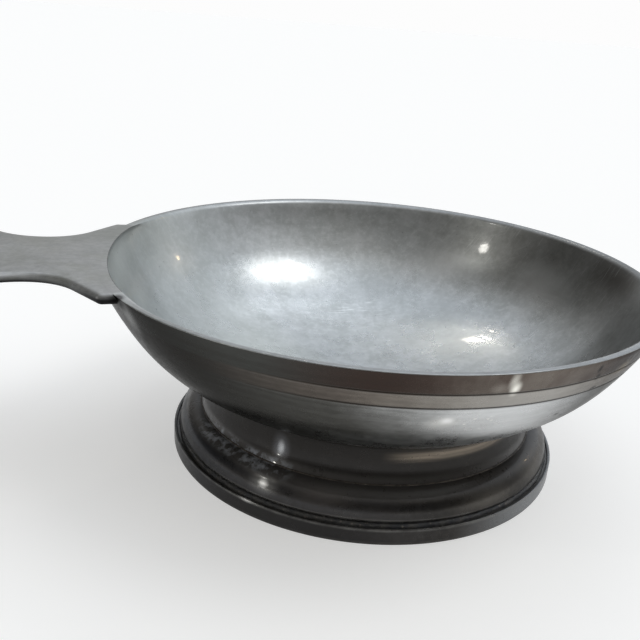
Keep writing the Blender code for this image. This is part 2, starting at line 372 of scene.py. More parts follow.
@dataclass(frozen=True)
class TarnishedOutside:
    """Turned pewter under dark oxide: brown below the rim and bright on one side below the lines, partly
    rubbed metal and partly painted reflection, with painted shade on the left.
    """

    axis: float
    lines: tuple[float, float]
    name: str = "tarnished_turned_pewter"
    # Bright side: rubbed metal, made lighter still as a painted reflection of the lit table.
    rubbed: str = "#dfe1e2"
    dark: str = "#434341"
    dark_front: str = "#5e5e5b"
    band: str = "#434240"
    band_front: str = "#6c655f"
    band_rubbed_and_lit: str = "#afaca7"
    top: str = "#4a4b49"
    brown: str = "#3f3531"
    brown_rubbed_and_lit: str = "#625851"
    lean: float = 12.0
    lean_height: float = 38 * MM
    line_edge: float = 0.3 * MM

    def material(self) -> Material:
        """Build the material.

        Returns:
            The finished material.
        """
        s = Surface(self.name, self.axis)
        # Painted reflection over tarnish and rubbing: lighter towards the front and the right, where the
        # bowl mirrors the lit table.
        rise = s.add("Math", [s.facing(-30), s.clouds(12.0, -0.03, 0.03)], **SUM)
        # Below the lines, the bright side, partly a painted reflection, reaches further round the higher it
        # is.
        slant = s.add("Math", [s.height, self.lean, -self.lean * self.lean_height], operation="MULTIPLY_ADD")
        fall = s.towards(-103, 0.68, 0.93)
        rise_low = s.add("MapRange", [s.add("Math", [rise, slant], **SUM), 0.17, 0.66], **SOFT)
        bright = s.add("Math", [rise_low, fall], **TIMES)
        bright_band = s.add("Math", [s.add("MapRange", [rise, 0.28, 0.74], **SOFT), fall], **TIMES)
        kept = s.add("MapRange", [bright, 0.0, 1.0, 1.0, 0.2])
        front = s.towards(-80, 0.55, 0.93)
        middle = s.layers(
            self.band,
            (front, self.band_front),
            (s.towards(-80, 0.86, 0.95, 0.9), "#857f78"),
            (bright_band, self.band_rubbed_and_lit),
        )
        # The band under the rim: brown oxide, its brown partly a painted reflection of the dim room.
        upper = s.layers(
            self.top,
            (s.towards(-85, 0.78, 0.95), self.brown),
            (bright_band, self.brown_rubbed_and_lit),
            (s.clouds(9.0, -0.1, 0.45, (1, 1, 0.4)), bright_band, "#8d877f"),
        )
        edges = [(line - self.line_edge, line + self.line_edge) for line in self.lines]
        in_upper, in_middle = (s.add("MapRange", [s.height, *edge], **SOFT) for edge in edges)
        colour = s.layers(
            self.dark,
            (front, self.dark_front),
            (bright, self.rubbed),
            # Painted reflection: lighter low on the front, where the bowl turns under.
            (s.towards(-85, 0.82, 0.95), s.upward(29.5, 32.0, 0.5, 0.0), "#b5b7b6"),
            (in_middle, middle),
            (in_upper, upper),
            # Painted shade: darker on the left, where the bowl mirrors the table in shadow.
            (s.towards(-170, 0.7, 0.97, 0.7), "#1b1b1a"),
            (s.rings(s.height, 1.1, 0.0, 0.2), kept, "#33302d"),
            (s.clouds(2.4, 0.0, 0.22, (1, 1, 2.5)), kept, "#3a3836"),
            # Painted highlights: a light patch under the handle's ear, lamp glints under the rim and below
            # the lines, and bright specks round the lower glint.
            (s.spot((-60.5, -32, 45.5), (4, 5, 6.5), 0.8), "#a2a3a2"),
            (s.spot((6.2, -68, 46.2), (2.6, 3, 2.2), 0.4), "#a9a39b"),
            (s.spot((8.6, -68.6, 48), (1.4, 3, 3.6), 0.6), "#e9e7de"),
            (s.spot((9.5, -67.5, 45.9), (1.5, 2.8, 2.8)), "#fffdf4"),
            (s.spot((-1.8, -63, 36.8), (4.8, 5, 3.1), 0.6), "#e4e4e0"),
            (s.spot((-1.1, -63.6, 37.5), (2.1, 2.8, 1.6)), "#ffffff"),
            (s.specks(1.3, 0.34, 0.9), s.spot((5.5, -62.4, 36.8), (7, 6, 4)), "#f4f4f0"),
            (s.spot((28.5, -63, 47.6), (0.9, 1.8, 1.9), 1.2), "#1f1b18"),
            (s.spot((29.2, -61.4, 45.4), (0.9, 1.6, 1.6), 1.2), "#1f1b18"),
            (s.spot((30.4, -58.6, 41.6), (1.5, 1.9, 0.9), 1.2), "#1f1b18"),
            (s.spot((37, -57, 45.4), (3.6, 3.2, 2.6), 0.5), "#a3957c"),
            (s.spot((24.8, -56.6, 34.8), (1, 1.2, 0.8)), "#2a2a2a"),
            (s.spot((26.8, -54.6, 33.7), (0.7, 0.9, 0.6)), "#2a2a2a"),
            # Painted shadow in the notch under the handle's ear.
            (s.spot((-62.8, -31.6, 48.4), (2.8, 3.2, 3.2), 1.4), "#141414"),
            (s.grime_and_shade, s.add("MapRange", [front, 0.0, 1.0, 0.3, 0.9]), "#241f1b"),
            (s.wear, 0.4, "#a9a9a7"),
        )
        rough = s.add("Math", [s.clouds(9.0, 0.24, 0.30), s.clouds(1.4, 0.0, 0.06)], **SUM)
        relief = s.add("Math", [s.upward(31, 36), s.rings(s.height, 0.7, 0.0, 0.5)], **TIMES)
        graze = s.add("MapRange", [bright_band, 0.0, 1.0, 0.52, 0.8])
        return s.finish(colour, rough, relief, 0.005, graze=graze)


@dataclass(frozen=True)
class TarnishedFoot:
    """Turned pewter, nearly black with tarnish: lathe rings, rubbed edges and pale smears of old residue,
    with painted shade, painted reflections and painted glints.
    """

    axis: float
    name: str = "blackened_turned_pewter"
    dark: str = "#36332f"
    cool: str = "#2f3136"
    # Collar: its tarnish darkened further with painted shade.
    collar_tarnish_and_shade: str = "#211e1b"
    seam: float = 10.8 * MM

    def material(self) -> Material:
        """Build the material.

        Returns:
            The finished material.
        """
        s = Surface(self.name, self.axis)
        along = s.add("Math", [s.height, s.add("Math", [s.radius, 0.7], **TIMES)], **SUM)
        left = s.towards(-160, -0.1, 0.8)
        collar = s.upward(10.7, 11.4, 0.0, 0.84)
        band = (s.towards(-72, 0.89, 0.985), s.upward(15.1, 17.2, 0.0, 0.95), s.upward(17.2, 18.8, 1.0, 0.1))
        tucked = s.add("Math", [s.upward(8.6, 10.2), s.upward(11.4, 13.0, 1.0, 0.0)], **TIMES)
        seam = s.add("Math", [s.height, self.seam], operation="SUBTRACT")
        seam = s.add("Math", [seam], operation="ABSOLUTE")
        flakes = s.add("MapRange", [seam, 0.3 * MM, 1.7 * MM, 1.0, 0.0], **SOFT)
        flakes = s.add("Math", [s.clouds(2.2, -0.4, 1.0), flakes], **TIMES)
        residue = s.add("Math", [flakes, s.towards(-146, 0.91, 0.975)], use_clamp=True, **TIMES)
        ring = s.upward(3.9, 4.3, 1.0, 0.0)
        groove = s.add("MapRange", [s.radius, 49.8 * MM, 50.1 * MM, 1.0, 0.0])
        groove = s.add("Math", [groove, s.upward(4.7, 5.1, 1.0, 0.0)], **TIMES)
        colour = s.layers(
            self.dark,
            (left, self.cool),
            (s.rings(along, 0.8, 0.0, 0.3), "#48443f"),
            (s.clouds(1.5, 0.0, 0.35), "#1d1b1a"),
            (s.towards(-118, 0.8, 0.98, 0.25), "#5a5653"),
            # Painted shade on the collar: darker than its tarnish, and darker still on its right side.
            (collar, self.collar_tarnish_and_shade),
            (collar, s.towards(-30, 0.75, 0.97, 0.5), "#0d0c09"),
            # Base ring: painted shade on its left, painted reflection on its right.
            (ring, s.towards(-122, 0.84, 0.98, 0.6), "#141312"),
            (ring, s.towards(-25, 0.55, 0.95, 0.8), "#9a9da0"),
            # Painted reflection: a warm light band near the collar's top, on its front.
            (*band, s.rings(s.height, 0.6, 0.6, 1.0), "#968a7b"),
            (tucked, 0.7, "#43403d"),
            (tucked, left, 0.6, "#5c5a58"),
            # Painted glints on the collar and on the dome.
            (s.spot((-27.1, -32.5, 14.8), (3, 3, 5), 0.4), "#8f9196"),
            (s.spot((-27.1, -32.5, 14.8), (1.3, 1.3, 2.4), 0.8), "#c8cacd"),
            (s.spot((-31.3, -36.5, 8.1), (5, 5, 3.4), 0.45), "#9a9a98"),
            (s.spot((-31.3, -36.5, 8.1), (1.7, 1.7, 1.3)), "#ffffff"),
            (s.spot((-19.7, -44, 8.6), (11, 8, 2.2), 0.35), "#8a8480"),
            (s.spot((18, -44, 7), (14, 8, 3), 0.25), "#8f8a82"),
            (s.spot((36, -31, 8.6), (11, 14, 5), 0.25), "#8f8a82"),
            # Painted glint on the base ring's edge.
            (s.spot((-35, -36.5, 4), (3, 3, 0.9)), "#e8e8e6"),
            (residue, "#abafb6"),
            (s.grime_and_shade, 0.4, "#161413"),
            (groove, 0.7, "#4d4842"),
            (s.wear, s.clouds(4.0, 0.3, 0.85), "#8d8c89"),
        )
        oxide = s.add("Math", [s.add("Math", [residue, tucked], **MOST), groove], **MOST)
        rough = s.add("Math", [s.clouds(6.0, 0.24, 0.32), s.clouds(1.2, 0.0, 0.08)], **SUM)
        relief = s.add("Math", [s.clouds(1.5, 0.0, 0.2), s.rings(along, 0.8, 0.0, 0.8)], **SUM)
        bare = s.add("MapRange", [oxide, 0.0, 1.0, 0.7, 0.1])
        return s.finish(colour, rough, relief, 0.008, metallic=bare, skin=0.12, graze=0.55)


@dataclass(frozen=True)
class CastHandle:
    """Cast pewter, filed flat and handled: even mid grey with a soft grain, rubbed corners, and sides
    darkened with painted shade.
    """

    axis: float
    name: str = "filed_cast_pewter"
    pale: str = "#b2b3b2"
    dull: str = "#a2a3a1"
    # Colour of the painted shade on the handle's sides and root, and of the dark line at the rim's seat.
    dark: str = "#1d1d1e"

    def material(self) -> Material:
        """Build the material.

        Returns:
            The finished material.
        """
        s = Surface(self.name, self.axis)
        scuff = s.add("Math", [s.scratches(5, 6, 0.35, 0.45), s.scratches(70, 5, 0.3, 0.3)], **MOST)
        far = s.add("SeparateXYZ", [s.place], out="Y")
        colour = s.layers(
            self.pale,
            (s.clouds(11.0, 0.0, 0.8), self.dull),
            (s.clouds(1.4, 0.0, 0.25), "#6f7171"),
            (s.clouds(13.0, -0.2, 0.35), "#8d8f84"),
            (s.add("MapRange", [far, 0.0, 18 * MM, 0.0, 0.4], **SOFT), "#7c7f79"),
            (scuff, "#c6c8c8"),
            (s.scratches(-22, 5, 0.3, 1.0), s.spot((-90, 13.4, 49.9), (9, 4, 4)), "#e6e8e8"),
            (s.wear, "#cccecf"),
            # Painted shade: the sides and root darker further below the top; a dark line at the rim's seat.
            (s.grime_and_shade, 0.98, self.dark),
            # Painted shadow in the notch under the ear, and a painted glint on the ear.
            (s.spot((-63, -31.2, 48.9), (2.7, 3.2, 3), 2.0), "#0c0c0c"),
            (s.spot((-67.1, -29.9, 49.3), (0.8, 1.3, 0.8)), "#ffffff"),
        )
        edge = s.add("MapRange", [s.add("Math", [s.wear, s.grime_and_shade], **MOST), 0.0, 0.2, 0.0, 0.3])
        rough = s.add("Math", [s.clouds(7.0, 0.28, 0.38), edge], **SUM)
        relief = s.add("Math", [s.clouds(1.2, 0.0, 1.0), scuff], **SUM)
        return s.finish(colour, rough, relief, 0.012)


@dataclass(frozen=True)
class DullSolder:
    """Soft solder run into a seam: a dark lumpy grey with dirt and a few pale crumbs."""

    axis: float
    name: str = "dull_soft_solder"
    dark: str = "#45403b"
    dusty: str = "#665f57"
    crumb: str = "#8f8a82"

    def material(self) -> Material:
        """Build the material.

        Returns:
            The finished material.
        """
        s = Surface(self.name, self.axis)
        colour = s.layers(
            self.dark,
            (s.clouds(2.2, 0.0, 1.0), self.dusty),
            (s.specks(1.1, 0.3, 0.9), s.clouds(7.0, 0.0, 1.0), self.crumb),
        )
        return s.finish(colour, s.clouds(0.9, 0.4, 0.6), s.clouds(1.1, 0.0, 1.0), 0.08, metallic=0.35)


@dataclass(frozen=True)
class Turn:
    """A point of a turned profile: radius and height, with its rubbing, its dirt and painted shade, and its
    side.
    """

    radius: float
    height: float
    wear: float = 0.0
    grime_and_shade: float = 0.0
    outer: float = 1.0


@dataclass
class Workshop:
    """Turns profiles about the dish's upright axis, closes shapes and hands pieces to the frame."""

    axis: float
    steps: int = 240
    merge: float = 0.002 * MM
    sharp: float = radians(50)

    def turn(self, profile: list[Turn], closed: bool = True) -> Shape:
        """Spin a profile round the dish's axis.

        Args:
            profile: Points along the section.
            closed: True where the section is a loop clear of the axis.

        Returns:
            A closed shape with its marks at each vertex; faces of the outer side have material 1.
        """
        shape = bmesh.new()
        marks = {name: shape.verts.layers.float.new(name) for name in ("wear", "grime_and_shade", "outer")}
        points = []
        for at in profile:
            vert = shape.verts.new((at.radius, 0.0, at.height))
            for name, layer in marks.items():
                vert[layer] = getattr(at, name)
            points.append(vert)
        edges = [shape.edges.new(pair) for pair in zip(points, points[1:])]
        if closed:
            edges.append(shape.edges.new((points[-1], points[0])))
        about = {"cent": (0.0, 0.0, 0.0), "axis": (0.0, 0.0, 1.0), "angle": tau}
        bmesh.ops.spin(shape, geom=points + edges, steps=self.steps, use_merge=True, **about)
        for face in shape.faces:
            face.material_index = int(min(v[marks["outer"]] for v in face.verts) > 0.5)
        return shape

    def piece(self, name: str, shape: Shape, finishes: list[Material], slot: Slot, node: str) -> None:
        """Make a shape a piece of the dish that stands for a CAD node.

        Args:
            name: Piece name.
            shape: Shape about the dish's axis, freed here.
            finishes: One material, or those of the inner side, the outer side and the handle's seat.
            slot: The part's own material slot; not used.
            node: CAD node that the piece replaces.
        """
        bmesh.ops.remove_doubles(shape, verts=shape.verts, dist=self.merge)
        bmesh.ops.translate(shape, verts=shape.verts, vec=(self.axis, 0.0, 0.0))
        bmesh.ops.recalc_face_normals(shape, faces=shape.faces)
        for face in shape.faces:
            face.material_index = min(face.material_index, len(finishes) - 1)
        mesh = bpy.data.meshes.new(name)
        shape.to_mesh(mesh)
        shape.free()
        mesh.shade_smooth()
        mesh.set_sharp_from_angle(angle=self.sharp)
        for finish in finishes:
            mesh.materials.append(finish)
        piece = bpy.data.objects.new(name, mesh)
        bpy.context.scene.collection.objects.link(piece)
        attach(piece, BODY)
        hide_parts(node)
        LOG.info("%s: %d faces", name, len(mesh.polygons))


@dataclass
class Bowl:
    """The turned bowl, drawn as wall, shoulder and floor arcs with a level rim and two incised lines."""

    shop: Workshop
    rim: float
    height: float
    wall: float = 1.9 * MM
    rim_slope: float = radians(67.6)
    wall_arc: float = 79.3 * MM
    shoulder_slope: float = radians(55.6)
    shoulder_arc: float = 40.0 * MM
    floor_slope: float = radians(17.0)
    arc_step: float = radians(1.2)
    line_drops: tuple[float, float] = (5.1 * MM, 8.9 * MM)
    line_width: float = 0.65 * MM
    line_depth: float = 0.13 * MM
    line_end: float = radians(48)
    line_fade: float = radians(24)
    rim_soft: float = 0.35 * MM
    rim_roll: float = 1.8 * MM
    roll_steps: int = 6
    # Darkening of the rim's top: dirt with painted shade, more of it towards the back.
    rim_grime_and_shade: float = 0.6
    back_rim_shade: float = 0.6
    seat_span: float = radians(23.4)
    seat_fade: float = radians(12)
    seat_grime: float = 0.7
    swell: float = 1.3 * MM
    swell_span: float = radians(27)
    swell_depth: float = 20 * MM

    @staticmethod
    def from_handle(place: Vector) -> float:
        """Angle round the dish between a place and the middle of the handle."""
        return abs(atan2(place.y, -place.x))

    def arcs(self, offset: float) -> list[tuple[Vector, float, float, float]]:
        """Centre, radius and slopes of each arc.

        Args:
            offset: Distance in from the outside.

        Returns:
            Wall, shoulder and floor arcs, from the rim down.
        """
        out = Vector((sin(self.rim_slope), -cos(self.rim_slope)))
        wall = Vector((self.rim, self.height)) - self.wall_arc * out
        lower = Vector((sin(self.shoulder_slope), -cos(self.shoulder_slope)))
        shoulder = wall + (self.wall_arc - self.shoulder_arc) * lower
        floor = Vector((0.0, shoulder.y + shoulder.x / tan(self.floor_slope)))
        floor_arc = self.shoulder_arc + shoulder.x / sin(self.floor_slope)
        top = acos((wall.y - self.height) / (self.wall_arc - offset))
        return [
            (wall, self.wall_arc - offset, top, self.shoulder_slope),
            (shoulder, self.shoulder_arc - offset, self.shoulder_slope, self.floor_slope),
            (floor, floor_arc - offset, self.floor_slope, 0.0),
        ]

    def face(self, offset: float, outer: float) -> list[Turn]:
        """Points of one face of the bowl, from the rim to the axis.

        Args:
            offset: Distance in from the outside.
            outer: 1 on the outer side, 0 on the inner side.

        Returns:
            The profile's points.
        """
        points: list[Turn] = []
        for centre, radius, high, low in self.arcs(offset):
            count = ceil((high - low) / self.arc_step)
            for i in range(bool(points), count + 1):
                at = high + (low - high) * i / count
                spread = centre.x + radius * sin(at)
                points.append(Turn(max(0.0, spread), centre.y - radius * cos(at), outer=outer))
        return points

    def radius_at(self, height: float) -> float:
        """Radius of the outside wall at a height."""
        centre, radius, _, _ = self.arcs(0.0)[0]
        return centre.x + sqrt(radius**2 - (centre.y - height) ** 2)

    def outside(self) -> list[Turn]:
        """The outer face below the rim, with its two incised lines.

        Returns:
            The profile's points, from the rim down.
        """
        cuts = []
        half = self.line_width / 2
        for drop in self.line_drops:
            for step, depth, wear, grime_and_shade in ((1.8, 0, 0.0, 0.0), (1.0, 0, 0.2, 0.2), (0.3, 1, 0.0, 1.0)):
                for level in (self.height - drop + half * step, self.height - drop - half * step):
                    cuts.append(Turn(self.radius_at(level) - depth * self.line_depth, level, wear, grime_and_shade))
        keep = [
            p
            for p in self.face(0.0, 1.0)
            if all(abs(p.height - self.height + d) > self.line_width for d in self.line_drops)
            and p.height < self.height - 2 * self.rim_soft
        ]
        return sorted(keep + cuts, key=lambda p: -p.height)

    def lip(self) -> list[Turn]:
        """The level rim, rolled in from the inside and softened outside.

        Returns:
            The profile's points, from the inside to the outside.
        """
        inner, soft, roll = self.face(self.wall, 0.0)[0].radius, self.rim_soft, self.rim_roll
        slope = self.arcs(self.wall)[0][2]
        start = inner + roll * tan(slope / 2)
        points = []
        for i in range(self.roll_steps + 1):
            at = slope * (1 - i / self.roll_steps)
            spread, drop = start - roll * sin(at), roll * (1 - cos(at))
            # Dirt with painted shade: the rim darkens from its inner roll onto its level top.
            points.append(Turn(spread, self.height - drop, 0.0, self.rim_grime_and_shade * i / self.roll_steps, 0.0))
        points.append(Turn(self.rim - 1.3 * soft, self.height, 0.0, self.rim_grime_and_shade, 0.0))
        for degrees in (90, 60, 30, 0):
            rise, run = sin(radians(degrees)), cos(radians(degrees))
            drop = soft * (1 - rise)
            spread = self.rim - soft * (1 - run) - 0.4 * drop
            points.append(Turn(spread, self.height - drop, 0.0, self.rim_grime_and_shade * rise, float(degrees <= 30)))
        return points

    def build(self, inside: Material, outside: Material, seat: Material) -> None:
        """Turn the bowl and give its inside, outside and handle seat their own finish.

        Args:
            inside: Finish of the inside and the rim.
            outside: Finish of the outside.
            seat: Finish of the rim where it was filed level with the handle.
        """
        start = self.height - 0.9 * self.rim_roll
        inner = [p for p in self.face(self.wall, 0.0) if p.height < start][::-1]
        shape = self.shop.turn(inner + self.lip() + self.outside(), closed=False)
        self.swell_at_handle(shape)
        self.wear_lines(shape)
        self.level_seat(shape)
        self.shop.piece("bowl_shell", shape, [inside, outside, seat], Slot.WORN, "bowl")

    def swell_at_handle(self, shape: Shape) -> None:
        """Widen the rim inwards where the handle is joined on.

        Args:
            shape: The turned bowl about its own axis.
        """
        low = self.height - self.swell_depth
        for vert in shape.verts:
            away = self.from_handle(vert.co) / self.swell_span
            if vert.co.z < low or away >= 1.0:
                continue
            spread = vert.co.xy.length
            outer = self.radius_at(min(vert.co.z, self.height))
            depth = min(1.0, max(0.0, (outer - spread) / (0.9 * self.wall)))
            rise = (vert.co.z - low) / self.swell_depth
            vert.co.xy *= 1 - self.swell * (1 - away**2) ** 2 * depth * rise**2 / spread

    def wear_lines(self, shape: Shape) -> None:
        """Let the incised lines run out on the worn side by the handle.

        Args:
            shape: The turned bowl about its own axis.
        """
        wear, grime_and_shade, outer = (shape.verts.layers.float[name] for name in ("wear", "grime_and_shade", "outer"))
        for vert in shape.verts:
            if vert[outer] < 0.5 or not vert[grime_and_shade] or vert.co.z > self.height - 2 * self.rim_soft:
                continue
            left = min(1.0, max(0.0, (self.from_handle(vert.co) - self.line_end) / self.line_fade))
            spread = vert.co.xy.length
            vert.co.xy *= 1 + (1 - left) * (self.radius_at(vert.co.z) - spread) / spread
            vert[wear] *= left
            vert[grime_and_shade] *= left

    def level_seat(self, shape: Shape) -> None:
        """File the rim level with the handle, and darken the rim more towards the back of the dish as
        painted shade.

        Args:
            shape: The turned bowl about its own axis.
        """
        grime_and_shade = shape.verts.layers.float["grime_and_shade"]
        edge = self.rim_roll * (1 - cos(self.arcs(self.wall)[0][2] * (1 - 1 / self.roll_steps)))
        for vert in shape.verts:
            drop = self.height - vert.co.z
            if drop > 1.05 * edge:
                continue
            vert[grime_and_shade] *= 1 + self.back_rim_shade * max(0.0, vert.co.y / self.rim)
            share = min(1.0, 1 + (self.seat_span - self.from_handle(vert.co)) / self.seat_fade)
            if share > 0.0:
                vert.co.z += drop * share
                vert[grime_and_shade] += share * (self.seat_grime * float(drop > 0.95 * edge) - vert[grime_and_shade])
        for face in shape.faces:
            middle = face.calc_center_median()
            if middle.z > self.height - 0.02 * MM and self.from_handle(middle) < self.seat_span:
                face.material_index = 2


@dataclass
class Foot:
    """The moulded foot: waisted collar, quarter-round dome and base ring, one above the other."""

    shop: Workshop
    bowl: Bowl
    finish: Material
    base_radius: float = 50.6 * MM
    base_height: float = 4.0 * MM
    base_bore: float = 45.0 * MM
    base_soft: float = 0.3 * MM
    lip_width: float = 0.7 * MM
    ledge_height: float = 3.4 * MM
    dome_radius: float = 49.0 * MM
    dome_foot: float = 4.9 * MM
    dome_bore: float = 42.5 * MM
    groove_depth: float = 0.7 * MM
    seam_radius: float = 43.7 * MM
    seam_height: float = 10.8 * MM
    waist_radius: float = 42.1 * MM
    waist_share: float = 0.55
    collar_top: float = 43.0 * MM
    collar_bore: float = 40.6 * MM
    spigot: float = 2.2 * MM

    @property
    def skirt(self) -> float:
        """Radius of the dome's wall in the groove above the base ring."""
        return self.dome_radius - self.groove_depth

    def bowl_height(self, radius: float) -> float:
        """Height of the bowl's underside at a radius."""
        centre, arc, _, _ = self.bowl.arcs(0.0)[1]
        return centre.y - sqrt(arc**2 - (radius - centre.x) ** 2)

    def build(self) -> None:
        """Turn the three rings of the foot."""
        for name, profile, node in (
            ("collar_drum", self.collar(), "foot_collar"),
            ("dome_moulding", self.dome(), "foot_dome"),
            ("base_flange", self.base(), "base_ring"),
        ):
            self.shop.piece(name, self.shop.turn(profile), [self.finish], Slot.TARNISHED, node)

    def collar(self) -> list[Turn]:
        """The waisted drum under the bowl, darker at each end.

        Returns:
            The profile's points.
        """
        top, low = self.bowl_height(self.collar_top) + 0.1 * MM, self.seam_height - 0.05 * MM
        waist = low + (top - low) * self.waist_share
        points = []
        for i in range(25):
            share = i / 24
            height = top + (low - top) * share
            if height > waist:
                bulge = (self.collar_top - self.waist_radius) * ((height - waist) / (top - waist)) ** 2
            else:
                bulge = (self.seam_radius - self.waist_radius) * ((waist - height) / (waist - low)) ** 2
            grime_and_shade = max(0.0, 1 - min(share, 1 - share) / 0.06) * 0.6
            points.append(Turn(self.waist_radius + bulge, height, 0.0, grime_and_shade))
        return points + [
            Turn(self.collar_bore, self.seam_height - self.spigot),
            Turn(self.collar_bore, self.bowl_height(self.collar_bore) - 0.1 * MM),
        ]

    def dome(self) -> list[Turn]:
        """The quarter-round moulding, with a rubbed lower edge over a dirty groove.

        Returns:
            The profile's points.
        """
        reach, rise = self.dome_radius - self.seam_radius, self.seam_height - self.dome_foot
        points = [Turn(self.dome_bore, self.seam_height, 0.0, 0.5)]
        for i in range(31):
            at = radians(3 * i)
            spread = self.seam_radius + reach * sin(at)
            grime_and_shade = max(0.0, 1 - i / 2) * 0.5
            wear = max(0.0, 1 - (30 - i) / 2) * 0.8
            points.append(Turn(spread, self.dome_foot + rise * cos(at), wear, grime_and_shade))
        return points + [
            Turn(self.dome_radius - 0.15 * MM, self.dome_foot - 0.15 * MM, 0.2, 0.5),
            Turn(self.skirt, self.dome_foot - 0.2 * MM, 0.0, 1.0),
            Turn(self.skirt, self.ledge_height + 0.02 * MM, 0.0, 1.0),
            Turn(self.skirt - 0.9 * MM, self.ledge_height + 0.02 * MM),
            Turn(self.seam_radius + 2.2 * MM, self.dome_foot + 3.0 * MM),
            Turn(self.dome_bore, self.seam_height - 1.6 * MM),
        ]

    def base(self) -> list[Turn]:
        """The ring under the foot, with a low rubbed lip round its ledge.

        Returns:
            The profile's points.
        """
        edge, lip, soft = self.base_radius, self.base_radius - self.lip_width, self.base_soft
        points = [
            Turn(self.base_bore, self.ledge_height),
            Turn(lip - 0.1 * MM, self.ledge_height, 0.0, 1.0),
            Turn(lip, self.base_height - 0.15 * MM, 0.1, 0.7),
        ]
        corner = [radians(degrees) for degrees in range(0, 91, 15)]
        for at in corner:
            height = self.base_height - soft * (1 - cos(at))
            points.append(Turn(edge - soft * (1 - sin(at)), height, 0.6, 0.0))
        points += [Turn(edge, self.base_height - 0.8 * MM), Turn(edge, 0.9 * MM)]
        for at in corner:
            points.append(Turn(edge - soft * (1 - cos(at)), soft * (1 - sin(at)), 0.2, 0.3))
        return points + [Turn(self.base_bore, 0.0, 0.0, 0.3)]


@dataclass
class Handle:
    """The flat cast handle: ears at the rim, a neck and a flared round end."""

    shop: Workshop
    bowl: Bowl
    finish: Material
    thickness: float = 2.4 * MM
    edge: float = 1.1 * MM
    seat_lap: float = 0.35 * MM
    under_lap: float = 0.3 * MM
    seat_steps: int = 28
    neck_reach: float = 13.28 * MM
    neck_half: float = 15.5 * MM
    root_arc: float = 12.6 * MM
    root_turn: float = radians(54)
    root_run: float = 10.2 * MM
    ear_arc: float = 1.6 * MM
    ear_turn: float = radians(64)
    flare_arc: float = 16.1 * MM
    flare_turn: float = radians(52)
    lobe_arc: float = 10.5 * MM
    lobe_turn: float = radians(107)
    arc_step: float = radians(4)
    root_end: float = 3.5 * MM
    rubbed_from: float = 10 * MM
    rubbed_fade: float = 6 * MM

    def arc(self, start: Vector, heading: float, radius: float, turn: float) -> tuple[list[Vector], float]:
        """Points after start along an arc.

        Args:
            start: First point, left out of the result.
            heading: Direction at the start.
            radius: Radius of the arc.
            turn: Angle turned through, to the left where positive.

        Returns:
            The points and the direction at the end.
        """
        side = copysign(1.0, turn)
        centre = start + radius * side * Vector((-sin(heading), cos(heading)))
        count = max(2, ceil(abs(turn) / self.arc_step))
        points = []
        for i in range(1, count + 1):
            at = heading + turn * i / count
            points.append(centre + radius * side * Vector((sin(at), -cos(at))))
        return points, heading + turn

    def half(self) -> list[Vector]:
        """One side of the outline.

        Returns:
            Distance and half-width of its points, from the ear to the tip.
        """
        neck = Vector((self.bowl.rim + self.neck_reach, self.neck_half))
        root, heading = self.arc(neck, pi, self.root_arc, -self.root_turn)
        shoulder = root[-1] + self.root_run * Vector((cos(heading), sin(heading)))
        ear, _ = self.arc(shoulder, heading, self.ear_arc, self.ear_turn)
        flare, heading = self.arc(neck, 0.0, self.flare_arc, self.flare_turn)
        lobe, heading = self.arc(flare[-1], heading, self.lobe_arc, -self.lobe_turn)
        cap_turn = pi / 2 + heading
        cap, _ = self.arc(lobe[-1], heading, lobe[-1].y / sin(cap_turn), -cap_turn)
        cap[-1].y = 0.0
        return (root + [shoulder] + ear)[::-1] + [neck] + flare + lobe + cap

    def build(self) -> None:
        """Extrude the outline, seat it on the bowl and round its edges."""
        rim = self.bowl.rim
        half = self.half()
        sides = half + [Vector((p.x, -p.y)) for p in half[-2::-1]]
        seat_radius = rim - self.seat_lap
        reach = asin(half[0].y / seat_radius)
        seat = [-reach + 2 * reach * i / self.seat_steps for i in range(self.seat_steps + 1)]
        outline = sides + [Vector((seat_radius * cos(a), seat_radius * sin(a))) for a in seat]
        shape = bmesh.new()
        top = self.bowl.height - 0.01 * MM
        for name in ("wear", "grime_and_shade"):
            shape.verts.layers.float.new(name)
        face = shape.faces.new([shape.verts.new((-p.x, p.y, top)) for p in outline])
        raised = bmesh.ops.extrude_face_region(shape, geom=[face])
        lower = [v for v in raised["geom"] if isinstance(v, bmesh.types.BMVert)]
        bmesh.ops.translate(shape, verts=lower, vec=(0.0, 0.0, -self.thickness))
        under = self.bowl.radius_at(top - self.thickness) - self.under_lap
        for vert in lower:
            if vert.co.xy.length < rim:
                vert.co.xy *= under / seat_radius
        bmesh.ops.recalc_face_normals(shape, faces=shape.faces)
        rounded = [
            e
            for e in shape.edges
            if abs(e.verts[0].co.z - e.verts[1].co.z) < 1e-6 and max(v.co.xy.length for v in e.verts) > rim
        ]
        bmesh.ops.bevel(
            shape,
            geom=rounded,
            offset=self.edge,
            offset_type="OFFSET",
            affect="EDGES",
            segments=6,
            profile=0.5,
            material=-1,
            clamp_overlap=False,
        )
        self.mark(shape, top)
        self.shop.piece("handle_plate", shape, [self.finish], Slot.CAST, "handle")

    def mark(self, shape: Shape, top: float) -> None:
        """Rub the upper corners of the outer part, and darken the sides and the root with painted shade.

        Args:
            shape: The handle about the dish's axis.
            top: Height of its upper face.
        """
        wear, grime_and_shade = (shape.verts.layers.float[name] for name in ("wear", "grime_and_shade"))
        for vert in shape.verts:
            drop = (top - vert.co.z) / MM
            away = vert.co.xy.length - self.bowl.rim
            outer = min(1.0, max(0.0, (away - self.rubbed_from) / self.rubbed_fade))
            vert[wear] = outer * max(0.0, 1 - abs(drop - 0.55) / 0.5)
            # Painted shade: darker the further below the top, quicker near the root.
            side_shade = drop / (1.2 if away < self.root_end else 2.05)
            vert[grime_and_shade] = min(1.0, side_shade + outer * (max(0.0, drop - 0.75) / 1.1 - side_shade))


